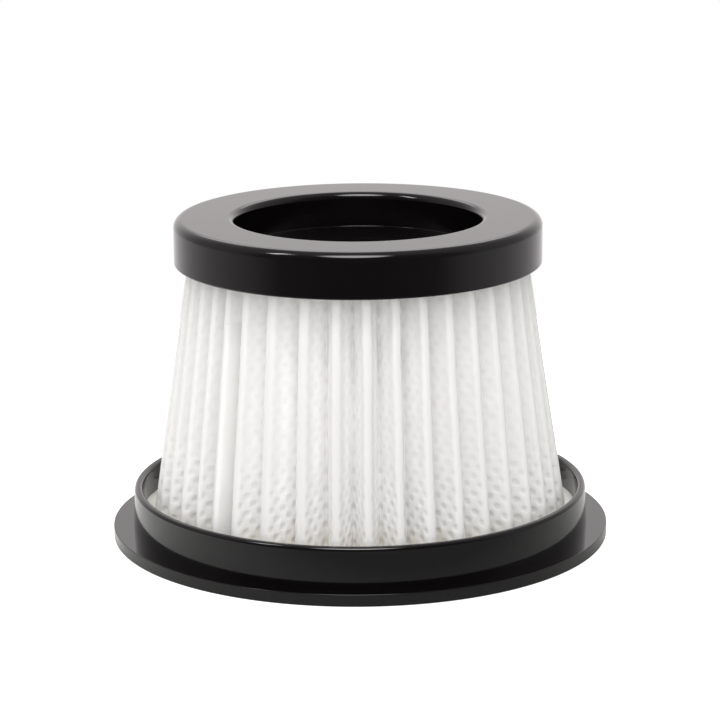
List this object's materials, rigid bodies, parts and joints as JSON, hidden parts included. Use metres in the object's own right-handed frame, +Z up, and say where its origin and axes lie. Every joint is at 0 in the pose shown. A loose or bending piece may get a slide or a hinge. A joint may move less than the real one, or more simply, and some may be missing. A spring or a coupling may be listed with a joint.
{
  "type": "vacuum cleaner filter cartridge",
  "caption": "Conical pleated filter cartridge with a closed, recessed cap at the narrow end and a flanged ring with an open air outlet at the wide end.",
  "frame": {"origin": "centre of the flange underside, on the cartridge axis", "axes": "+Z up along the cartridge axis from the open outlet to the closed cap, -Y toward the front seen in the picture"},
  "size_m": [0.098, 0.098, 0.0635],
  "materials": {
    "black_plastic": "polished injection moulding",
    "filter_cloth": "embossed nonwoven",
    "adhesive": "set hot-melt adhesive"
  },
  "bodies": {
    "root": {"base_ring": "black_plastic", "end_cap": "black_plastic", "pleated_media": "filter_cloth", "seam_strip": "adhesive", "base_potting": "adhesive", "cap_potting": "adhesive"}
  },
  "joints": []
}
